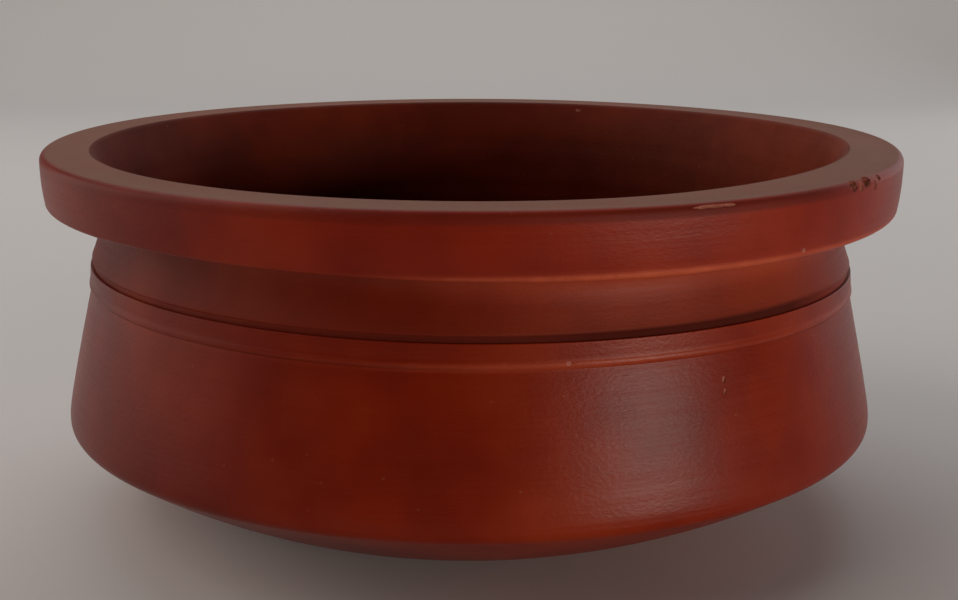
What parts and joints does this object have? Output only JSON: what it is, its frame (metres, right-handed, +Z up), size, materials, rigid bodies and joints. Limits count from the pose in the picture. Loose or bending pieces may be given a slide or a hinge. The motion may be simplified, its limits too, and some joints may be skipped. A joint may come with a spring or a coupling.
{
  "type": "terracotta biryani pot",
  "caption": "Wide shallow clay cooking pot with a thick square rim, drawn-in neck, banded waist, flared wall and a rounded bottom with a flat spot to stand on.",
  "frame": {"origin": "centre of the flat spot that the pot stands on", "axes": "+Z up along the pot's turning axis, through the mouth; the pot is round, so X and Y are any two level directions"},
  "size_m": [0.26, 0.26, 0.1139],
  "materials": {
    "burnished_slip": "red-brown slip burnished to a soft satin over low-fired clay",
    "rim_slip": "the same slip, drier and dusty on the flat top of the rim"
  },
  "bodies": {
    "root": {"base_dish": "burnished_slip", "belly_wall": "burnished_slip", "waist_band": "burnished_slip", "neck_wall": "burnished_slip", "rim_collar": "rim_slip"}
  },
  "joints": []
}
